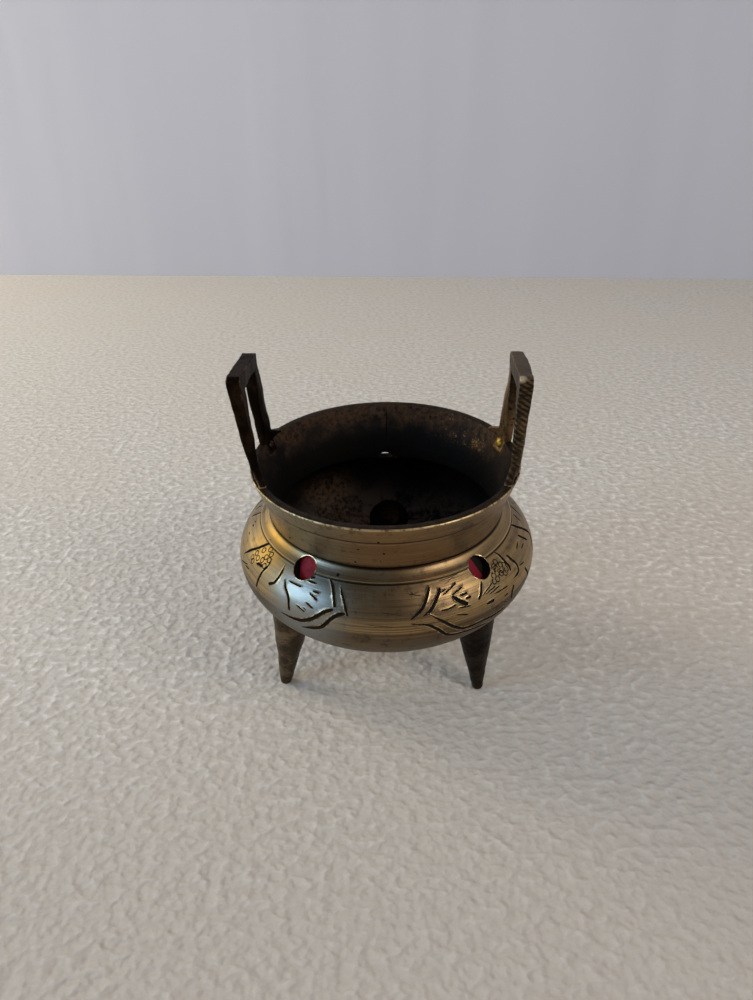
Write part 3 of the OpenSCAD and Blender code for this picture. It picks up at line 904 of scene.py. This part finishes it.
# Strokes are (width, [(azimuth, height above the widest line), ...]) in the order cut.
LEFT_FRAME = [
    (0.85, [(-72, 4.5), (-67.5, 7.5), (-65.5, 8.5), (-61.5, 11)]),
    (0.7, [(-53.5, 9.5), (-53, 8), (-54, 6.5), (-54.5, 4.5), (-55, 1.5)]),
    (0.75, [(-45.5, 10), (-45, 9), (-45, 7.5), (-46, 6), (-48.5, 5)]),
    (0.75, [(-42, 8), (-40, 6.5), (-37.5, 5), (-36.5, 3), (-36, 1.5)]),
    (0.7, [(-23.5, 11), (-21.5, 10), (-20, 8.5), (-18.5, 6)]),
    (0.6, [(-18, 10), (-17, 9), (-15.5, 7.5), (-14.5, 6), (-13.5, 4.5)]),
    (0.95, [(-40, -0.5), (-35.5, -0.5), (-31, 0), (-27, 1.5), (-24.5, 3), (-22, 4.5),
            (-19, 5.5)]),
    (0.95, [(-31, -2.5), (-27.5, -1.5), (-23, 0), (-19.5, 3), (-17, 4.5), (-14.5, 5)]),
]
LEFT_RAYS = [
    (0.45, [(-40, 8), (-36.5, 8), (-33.5, 8)]),
    (0.5, [(-32, 9.5), (-28, 9.5)]),
    (0.5, [(-31.5, 10), (-29.5, 10.5)]),
    (0.5, [(-28.5, 8), (-25.5, 8)]),
    (0.5, [(-29.5, 7.5), (-25.5, 6.5)]),
    (0.45, [(-30, 5.5), (-26.5, 4.5)]),
    (0.4, [(-33.5, 4), (-29.5, 3)]),
    (0.25, [(-30.5, 4), (-29, 3.5)]),
    (0.8, [(-60, 6.5), (-57.5, 7), (-55.5, 7)]),
]
LEFT_RINGS = [(-64.5, 6.5), (-63, 6), (-63.5, 8), (-61, 7.5), (-58, 8), (-61, 9.5),
              (-57, 9), (-58, 10.5), (-55.5, 10), (-54.5, 9), (-55, 7.5)]
FAR_LEFT = [
    (0.7, [(-91.5, 8), (-88, 11)]),
    (0.6, [(-96, 8.5), (-95, 10.5)]),
    (0.35, [(-84.5, 9.5), (-82.5, 9.8)]),
    (0.35, [(-83, 9), (-81, 9.1)]),
    (0.35, [(-80, 7.8), (-78, 7.9)]),
    (0.35, [(-72.5, 2), (-65.5, 4)]),
    (0.35, [(-67, 3), (-63, 3.5)]),
]
RIGHT_FRAME = [
    (0.75, [(8, 4), (12, 6), (14, 7.5), (15.5, 9), (16.5, 10)]),
    (0.85, [(12.5, 4.5), (14, 5), (16, 6), (18, 7.5), (19.5, 8.5), (20.5, 9.5)]),
    (0.9, [(14, 5), (16, 4), (19.5, 2), (23.5, -0.5), (26.5, -2), (30.5, -2.5), (35, -2.5),
           (41, -3), (48, -3)]),
    (0.85, [(8, 3), (11, 2.5), (14, 2), (17.5, 0), (20.5, -2.5), (23.5, -3.5), (27.5, -4),
            (32.5, -4.5), (40, -5.5)]),
    (0.7, [(38, 8), (37, 7), (35.5, 5.5), (34, 4.5)]),
    (0.75, [(52, 11), (53, 10), (53.5, 8.5), (54, 7), (53.5, 6)]),
    (0.8, [(53.5, 4), (56, 4), (58, 4.5), (58.5, 6), (57.5, 7.5), (56.5, 9)]),
    (0.75, [(64, -2.5), (67, -2), (65, 0.5), (63, 3)]),
    (0.75, [(51, -2), (51, 0.5), (52.5, 2.5)]),
    (0.9, [(76, 1), (80.5, 3.5), (82, 6), (75, 11)]),
    (0.8, [(76, 6), (72, 9)]),
]
RIGHT_RAYS = [
    (0.4, [(20, 8.5), (23, 9)]),
    (0.45, [(21, 8), (27.5, 9.5)]),
    (0.5, [(24, 7.5), (29.5, 8.5)]),
    (0.65, [(27, 7), (30.5, 7)]),
    (0.7, [(29, 6), (31.5, 6)]),
    (0.45, [(18.5, 5), (22, 5), (25, 5.5)]),
    (0.4, [(25.5, 4.5), (30.5, 4)]),
    (0.4, [(24, 3), (29, 2)]),
    (0.8, [(37, 2.5), (41, 2.5)]),
    (1.1, [(24, 7.5), (26.5, 6), (29.5, 4.5)]),
    (0.35, [(36, 5), (42, 6.5)]),
    (0.35, [(37.5, 5), (43, 5.5)]),
    (0.35, [(39, 4.5), (45, 5)]),
    (0.35, [(41, 4), (49, 3.5)]),
    (0.35, [(46, 1.5), (48.5, 1.5)]),
    (0.3, [(44, 0.5), (48.5, -1.5)]),
    (0.35, [(64, 4.5), (60, 5)]),
    (0.4, [(68.5, 8.5), (64.5, 8)]),
    (0.4, [(71.5, 7), (67.5, 7)]),
]
RIGHT_RINGS = [(47, 9), (49, 9.5), (50.5, 8.5), (52, 8), (45, 8.5), (47.5, 8.5), (49.5, 7.5),
               (52, 7), (44.5, 7.5), (46.5, 7.5), (48.5, 7), (50.5, 6.5), (43.5, 6.5),
               (45.5, 6.5)]
SCRATCHES = [
    (0.2, [(7, 9.5), (14, 8.5)]),
    (0.15, [(8, 9), (12.5, 9.5)]),
    (0.2, [(21, 10.5), (30, 10.8)]),
    (0.15, [(23, 9.8), (27.5, 10.6)]),
    (0.15, [(-8, 3), (2, 2.5)]),
    (0.15, [(-2, 6), (5, 5.2)]),
]

# Pits are (azimuth, height, radius).
SHOULDER_PITS = [(-20.5, 57.2, 0.55), (-55, 56.5, 0.3), (-62.5, 57, 0.25), (-30, 56.7, 0.2),
                 (120, 56.8, 0.4), (205, 56.5, 0.35)]
NECK_PITS = [(-1, 64.8, 0.4), (-2.5, 62, 0.25), (-11.5, 66, 0.3),
             (-13.5, 61, 0.25), (-49, 61.5, 0.25), (-3, 69.6, 0.35), (95, 64, 0.3),
             (190, 66, 0.3)]

brass, groove, burr, soot = worn_brass(), groove_soot(), burr_brass(), sooty_inside()
dice = random.Random(4)
lathe = turning_tree()
graver = stroke_tree()
ring_punch = punch_tree()
pitting = pit_tree()

# Sections as shares of a stroke's width: the lip thrown up, the cut itself, a hole's lip.
LIPS = {"Height": 0.055, "Depth": 0.3, "Top half width": 0.6, "Floor half width": 1.5}
CUTS = {"Height": 0.5, "Depth": 0.5, "Top half width": 0.95, "Floor half width": 0.06}
HOLE_LIP = {"Height": 0.2, "Depth": 0.6, "Top half width": 0.25, "Floor half width": 0.6}
HOLE_LIP_W = 0.5
PUNCH = {"Ring radius": 0.75 * MM, "Ring width": 0.36 * MM, "Tilt": 0.1}
RIM_NICKS = 26


def strokes_tool(name, strokes, section, material):
    """Tool of one section swept along each of the strokes."""
    return run_tree(stroke_mesh(name, strokes), graver, {**section, "Material": material})


def engrave(bowl, strokes, number):
    """Raises a lip along each stroke, then cuts the stroke out of it."""
    carve(bowl, strokes_tool(f"lips_{number}", strokes, LIPS, burr), "UNION")
    carve(bowl, strokes_tool(f"cuts_{number}", strokes, CUTS, groove))


def punch_rings(bowl, centres, seed):
    """Strikes ring marks round centres (azimuth, height); they must not touch each other."""
    places = [on_belly(*centre) for centre in centres]
    points = new_object(f"punch_{seed}", [p for p, _ in places])
    add_vectors(points.data, "lift", [n for _, n in places])
    carve(bowl, run_tree(points, ring_punch, {**PUNCH, "Seed": seed, "Material": groove}))


def on_outline(outline, azimuth, height):
    """Point of a turned surface, from its outline of (radius, height)."""
    radii, heights = zip(*outline)
    r = float(np.interp(height, heights, radii))
    return spin(azimuth) @ Vector((r, 0, height))


def sink_pits(body, outline, pits, seed, material):
    """Small cavities left by the casting and by knocks."""
    points = new_object(f"pits_{seed}", [on_outline(outline, az, z) for az, z, _ in pits])
    add_floats(points.data, "width", [size for _, _, size in pits])
    carve(body, run_tree(points, pitting, {"Lump": MM, "Seed": seed, "Material": material}))


def hole_lip(place):
    """Thin bright lip round a hole, along the line where it breaks the surface."""
    upper = [(z, r) for r, z in bowl_outside() if z >= WAIST_Z - 4]
    heights, radii = zip(*upper)
    axis = hole_axis(place)
    clear, count = 0.06, 72
    lip_r = HOLE_D / 2 + clear
    points = []
    for i in range(count):
        a = 2 * math.pi * i / count
        low, high = -DRILL_REACH, DRILL_REACH
        for _ in range(30):
            middle = (low + high) / 2
            p = axis @ Vector((lip_r * math.cos(a), lip_r * math.sin(a), middle))
            inside = math.hypot(p.x, p.y) < np.interp(p.z, heights, radii)
            low, high = (middle, high) if inside else (low, middle)
        points.append(p)
    out = (axis.to_3x3() @ Vector((0, 0, 1))).normalized()
    path = new_object("hole_lip", points, ring_of_edges(count))
    add_vectors(path.data, "lift", [out] * count)
    add_floats(path.data, "width", [HOLE_LIP_W * MM] * count)
    return run_tree(path, graver, {**HOLE_LIP, "Material": burr})


def drill_hole(bowl, place):
    """Bores a shoulder hole, with a wider seat from inside; the rear one is worn open."""
    open_rear = place == REAR_HOLE
    if not open_rear:
        carve(bowl, hole_lip(place), "UNION")
    axis = hole_axis(place)
    radius = HOLE_D / 2 + (REAR_HOLE_WEAR if open_rear else 0)
    seat = REAR_EDGE_T if open_rear else PANE_DEPTH
    carve(bowl, rod("drill", axis, radius, -DRILL_REACH, DRILL_REACH, soot))
    carve(bowl, rod("counterbore", axis, radius + PANE_LEDGE, -DRILL_REACH - SPARE, -seat, soot))


def inside_bowl(r, z):
    """Whether a place lies clear of the bowl's outer skin, on the inner side."""
    reach = CROWN_H if z > WAIST_Z else BELLY_DEPTH
    skin_starts = 0.94            # 1 is the outer skin itself
    return (r / BELLY_R) ** 2 + ((z - WAIST_Z) / reach) ** 2 < skin_starts


def engraved_bowl():
    bowl = turn("engraved_bowl", bowl_outline(), BOWL_SEGMENTS, brass)
    darken_inside(bowl, soot, inside_bowl)
    figures = [LEFT_FRAME, LEFT_RAYS + FAR_LEFT, RIGHT_FRAME, RIGHT_RAYS]
    for number, strokes in enumerate(figures):
        engrave(bowl, strokes + half_turn(strokes), number)
    carve(bowl, strokes_tool("scratches", SCRATCHES, CUTS, groove))
    rounds = 4                    # neighbouring rings are struck in different rounds
    for field, centres in enumerate((LEFT_RINGS, RIGHT_RINGS)):
        both = centres + [(azimuth + 180, height) for azimuth, height in centres]
        for i in range(rounds):
            punch_rings(bowl, both[i::rounds], rounds * field + i + 1)
    for place in (LEFT_HOLE, RIGHT_HOLE, REAR_HOLE):
        drill_hole(bowl, place)
    for place in (LEFT_LEG, RIGHT_LEG, REAR_LEG):
        carve(bowl, rod("tenon_drill", leg_axis(place), TENON_D / 2 + FIT, TENON_LOW_Z,
                        WAIST_Z, soot))
    upper = [point for point in bowl_outside() if point[1] > WAIST_Z]
    sink_pits(bowl, upper, SHOULDER_PITS, 5, groove)
    shade(bowl, 28)
    finish_piece(bowl, "bowl")


def inside_neck(r, z):
    """Whether a place lies inside the middle of the neck's wall, below the rim's top."""
    share = (z - MOUTH_Z) / (LIP_Z - MOUTH_Z)
    middle = NECK_FOOT_R + flare(min(1, max(0, share))) - NECK_WALL / 2
    middle += max(0, z - LIP_Z) * LIP_LEAN
    return r < middle and z < RIM_Z - 0.15


def cut_notches(ring):
    """Notches in the rim for the handles' feet, a little smaller than their cast tangs."""
    hidden = 0.3
    half = BAR_FOOT_W / 2 - hidden
    for handle_az in (LEFT_HANDLE_AZ, RIGHT_HANDLE_AZ):
        for side in (-1, 1):
            carve(ring, wedge("notch", spin(handle_az + side * FOOT_TURN),
                              (NECK_IN_R, -half, RIM_Z - TANG_H + hidden),
                              (SPLIT_LOW_R, half, RIM_Z + SPARE),
                              (TANG_H - hidden + SPARE) * LIP_LEAN, soot))


def neck_ring():
    ring = turn("neck_ring_turned", neck_outline(), NECK_SEGMENTS, brass)
    darken_inside(ring, soot, inside_neck)
    cut_notches(ring)
    carve(ring, wedge("seam", spin(SEAM_AZ), (NECK_IN_R - SPARE, -SEAM_W / 2, RIM_Z - SEAM_H),
                      (NECK_IN_R + SEAM_DEPTH, SEAM_W / 2, RIM_Z + SPARE), SEAM_SLOPE,
                      soot))
    relief_top = -0.9             # below the shoulder's surface, so that it stays hidden
    carve(ring, rod("rear_relief", hole_axis(REAR_HOLE), HOLE_D / 2 + REAR_RELIEF,
                    -DRILL_REACH - SPARE, relief_top, soot))
    outside = neck_side() + [(RIM_R, RIM_Z)]
    sink_pits(ring, outside, NECK_PITS, 7, groove)
    nicks = [(dice.uniform(-180, 180), RIM_Z - dice.uniform(0, 0.25), dice.uniform(0.14, 0.3))
             for _ in range(RIM_NICKS)]
    sink_pits(ring, outside, nicks, 9, brass)
    shade(ring, 35)
    finish_piece(ring, "neck_ring")


# ---------------------------------------------------------------- cast pieces

def cad_copy(name, node):
    """Copy of a CAD node's mesh with its doubled corners merged."""
    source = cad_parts[node]
    mesh = source.data.copy()
    mesh.materials.clear()
    shape = bmesh.new()
    shape.from_mesh(mesh)
    bmesh.ops.remove_doubles(shape, verts=shape.verts, dist=1e-6)
    shape.to_mesh(mesh)
    shape.free()
    return place_in_scene(name, mesh)


def skin(thing, voxel, smoothing=2):
    """Even fine skin over a shape, its edges softened as a casting's are."""
    remesh = thing.modifiers.new("skin", "REMESH")
    remesh.mode = "VOXEL"
    remesh.voxel_size = voxel * MM
    soften = thing.modifiers.new("soften", "SMOOTH")
    soften.iterations = smoothing
    soften.factor = 0.5
    return settle(thing)


def read_points(mesh):
    """A mesh's points, in millimetres, and their normals."""
    points, normals = np.empty((2, len(mesh.vertices) * 3))
    mesh.vertices.foreach_get("co", points)
    mesh.vertices.foreach_get("normal", normals)
    return points.reshape(-1, 3) / MM, normals.reshape(-1, 3)


def write_points(mesh, points):
    mesh.vertices.foreach_set("co", (points * MM).ravel())
    mesh.update()


def roughen(thing, lumps):
    """Pushes the skin in and out by noise; lumps are (size, height)."""
    points, normals = read_points(thing.data)
    shift = np.zeros(len(points))
    for size, height in lumps:
        shift += [height * noise.noise(Vector(p) / size) for p in points]
    write_points(thing.data, points + normals * shift[:, None])


def add_wear(thing, gain, passes=2):
    """Stores how far each point stands out from its neighbours, which is where hands rub."""
    mesh = thing.data
    points, normals = read_points(mesh)
    edges = np.empty(len(mesh.edges) * 2, int)
    mesh.edges.foreach_get("vertices", edges)
    first, second = edges.reshape(-1, 2).T
    count = np.bincount(edges, minlength=len(points))

    def average(values):
        total = np.zeros_like(values)
        np.add.at(total, first, values[second])
        np.add.at(total, second, values[first])
        return total / (count[:, None] if values.ndim == 2 else count)

    smooth = points
    for _ in range(passes):
        smooth = average(smooth)
    wear = ((points - smooth) * normals).sum(1) * gain
    for _ in range(passes):
        wear = average(wear)
    add_floats(mesh, "wear", np.clip(wear, 0, 1))


def round_corner(points, first, second, reach):
    """Rounds a handle's top between two of its sides, each given as (axis, sign)."""
    top_h, blend_h = 3, 3         # wholly rounded, and going over into the plain bar below
    above = points[:, 2] - (TOP_Z - top_h - blend_h)
    amount = np.clip(above / blend_h, 0, 1)
    gaps = []
    for axis, sign in (first, second):
        out = points[:, axis] * sign
        gaps.append(out - (out[above > blend_h].max() - reach))
    distance = np.hypot(*gaps)
    round_here = (gaps[0] > 0) & (gaps[1] > 0) & (distance > reach)
    excess = np.where(round_here, 1 - reach / np.maximum(distance, 1e-6), 0) * amount
    for (axis, sign), gap in zip((first, second), gaps):
        points[:, axis] -= gap * excess * sign
    return points


def cast_piece(name, node, material, voxel, lumps, corners=()):
    """A CAD node with a cast skin; corners are (side, side, rounding) of a handle's top."""
    piece = skin(cad_copy(name, node), voxel)
    points, _ = read_points(piece.data)
    for corner in corners:
        points = round_corner(points, *corner)
    write_points(piece.data, points)
    add_wear(piece, 12)
    roughen(piece, lumps)
    points, _ = read_points(piece.data)
    points[:, 2] = np.clip(points[:, 2], 0, TOP_Z)
    write_points(piece.data, points)
    piece.data.materials.append(material)
    piece.data.shade_smooth()
    finish_piece(piece, node)


def pane(name, node, place, material):
    """Red pane, a little domed, seated on the ledge of its hole."""
    edge_r = HOLE_D / 2 + PANE_LEDGE - FIT
    dome_h, gap = 0.12, 0.02
    dome = [(edge_r * math.sin(a), -PANE_DEPTH - gap - dome_h * (1 - math.cos(a)))
            for a in (math.radians(90 - 10 * i) for i in range(10))]
    back = -PANE_DEPTH - PANE_T
    disc = turn(name, [(0, back), (edge_r, back)] + dome, PANE_SEGMENTS, material)
    disc.data.transform(Matrix.Scale(MM, 4) @ hole_axis(place) @ Matrix.Scale(1 / MM, 4))
    shade(disc, 35)
    finish_piece(disc, node)


def pane_border(hole, up, direction):
    """Border of a pane's lit part, up from its middle, and the way to the lit side."""
    axis = hole_axis(hole)
    return axis @ Vector((0, up, -PANE_DEPTH)), axis.to_3x3() @ Vector(direction)


# ---------------------------------------------------------------- the burner

engraved_bowl()
neck_ring()

LUMPS = [(7, 0.3), (2.4, 0.1), (0.8, 0.04)]       # (size, height)
LEFT, RIGHT, FRONT, REAR, TOP = (0, -1), (0, 1), (1, -1), (1, 1), (2, 1)    # (axis, sign)
cast_piece("left_handle_cast", "left_handle",
           cast_bronze("left_handle_bronze", (20, 12, 6), (44, 28, 16), (150, 126, 94), 0.46),
           0.22, LUMPS,
           [(LEFT, REAR, 2.4), (TOP, REAR, 2.2), (RIGHT, REAR, 1.4), (TOP, FRONT, 1.2)])
cast_piece("right_handle_cast", "right_handle",
           cast_bronze("right_handle_bronze", (42, 33, 24), (76, 59, 40), (164, 140, 104), 0.36,
                       filed_and_rubbed),
           0.22, LUMPS, [(RIGHT, REAR, 1.8), (TOP, REAR, 1.8), (TOP, RIGHT, 0.9)])

pale_leg = cast_bronze("left_leg_bronze", (67, 57, 45), (114, 97, 74), (160, 140, 108), 0.32)
dark_leg = cast_bronze("right_leg_bronze", (30, 23, 18), (52, 40, 28), (104, 84, 58), 0.34)
for leg, metal in (("front_left_leg", pale_leg), ("front_right_leg", dark_leg),
                   ("rear_leg", dark_leg)):
    cast_piece(leg + "_cast", leg, metal, 0.25, LUMPS)

washer_metal = cast_bronze("washer_bronze", (16, 13, 10), (28, 21, 16), (44, 34, 25), 0.6)
cast_piece("leg_washers_cast", "leg_washers", washer_metal, 0.2,
           [(3, 0.1), (0.8, 0.05)])
cast_piece("rivet_heads", "handle_rivets", rivet_brass(), 0.1, [(1, 0.05)])

pane("left_pane", "left_red_pane", LEFT_HOLE,
     red_enamel("left_enamel", pane_border(LEFT_HOLE, -2.9, (0.3, -1, 0))))
pane("right_pane", "right_red_pane", RIGHT_HOLE,
     red_enamel("right_enamel", pane_border(RIGHT_HOLE, 0.8, (-0.3, 1, 0))))


# ---------------------------------------------------------------- table, light and camera

def table_and_wall():
    """Cloth under the burner, and a wall that comes nearer towards the right."""
    side, top = 1500, 1400
    left_back, right_back = 600, 360
    square = [(0, 1, 2, 3)]
    floor = new_object("table", [(-side, -side, 0), (side, -side, 0), (side, right_back, 0),
                                 (-side, left_back, 0)], (), square, fleece())
    wall = new_object("wall", [(-side, left_back, 0), (side, right_back, 0),
                               (side, right_back, top), (-side, left_back, top)],
                      (), square, pale_wall())


def lamp(name, place, size, power, colour):
    """Soft square lamp aimed at the burner."""
    data = bpy.data.lights.new(name, "AREA")
    data.size = size
    data.energy = power
    data.color = colour
    thing = place_in_scene(name, data)
    thing.location = place
    aim = Vector((0, 0, 50 * MM)) - Vector(place)
    thing.rotation_euler = aim.to_track_quat("-Z", "Y").to_euler()
    thing.visible_camera = False
    return thing


def room_light():
    """Pale room that grows dusky overhead, with a window at the left and a warm lamp behind.

    What the metal mirrors is the painted room; an even pale sky of its own lights it.
    """
    world = bpy.data.worlds.new("room")
    bpy.context.scene.world = world
    world.use_nodes = True
    world.node_tree.nodes.clear()
    g = Graph(world.node_tree)
    path = g.node("ShaderNodeLightPath")
    seen = path.of("Is Camera Ray") + path.of("Is Glossy Ray") + path.of("Is Transmission Ray")
    _, ahead, height = g.axes(g.node("ShaderNodeTexCoord").of("Generated"))
    sides = g.mix(g.fade(ahead, -0.3, -0.9), srgb(200, 200, 203), srgb(120, 119, 120))
    room = g.mix(g.fade(height, 0.12, 0.8), sides, srgb(66, 66, 68))
    lit_by = g.node("ShaderNodeBackground", None, {"Color": (0.95, 0.96, 1, 1), "Strength": 0.61})
    looked_at = g.node("ShaderNodeBackground", None, {"Color": room, "Strength": 1})
    both = g.node("ShaderNodeMixShader", None, {0: seen, 1: lit_by, 2: looked_at})
    g.node("ShaderNodeOutputWorld", None, {"Surface": both})
    lamp("window", (-0.80, -0.32, 0.43), 0.27, 3, (0.5, 0.76, 1))
    main = lamp("main_lamp", (-0.85, 0.40, 0.48), 0.6, 7.2, (1, 0.93, 0.83))
    main.visible_glossy = False
    lamp("warm_glow", (-0.85, 0.40, 0.30), 0.3, 1.3, (1, 0.8, 0.38))
    lamp("right_spot", (0.53, -0.37, 0.56), 0.27, 2, (1, 0.93, 0.82))


FOCAL_SHARE = 0.751              # focal length as a share of the picture's height


def set_camera():
    """Camera in front of the burner, looking down at it."""
    place = Vector((0, -194.1, 177.2)) * MM
    yaw, pitch, roll = (math.radians(a) for a in (-0.81, 31.26, -1.11))
    ahead = Vector((math.sin(yaw) * math.cos(pitch), math.cos(yaw) * math.cos(pitch),
                    -math.sin(pitch)))
    level = Vector((math.cos(yaw), -math.sin(yaw), 0))
    up = level.cross(ahead)
    right = math.cos(roll) * level + math.sin(roll) * up
    top = -math.sin(roll) * level + math.cos(roll) * up
    data = bpy.data.cameras.new("camera")
    data.sensor_fit = "VERTICAL"
    data.sensor_height = 36
    data.lens = FOCAL_SHARE * data.sensor_height
    thing = place_in_scene("camera", data)
    axes = Matrix((right, top, -ahead)).transposed()
    thing.matrix_world = Matrix.Translation(place) @ axes.to_4x4()
    bpy.context.scene.camera = thing


table_and_wall()
room_light()
set_camera()
bpy.context.scene.view_settings.view_transform = "Standard"
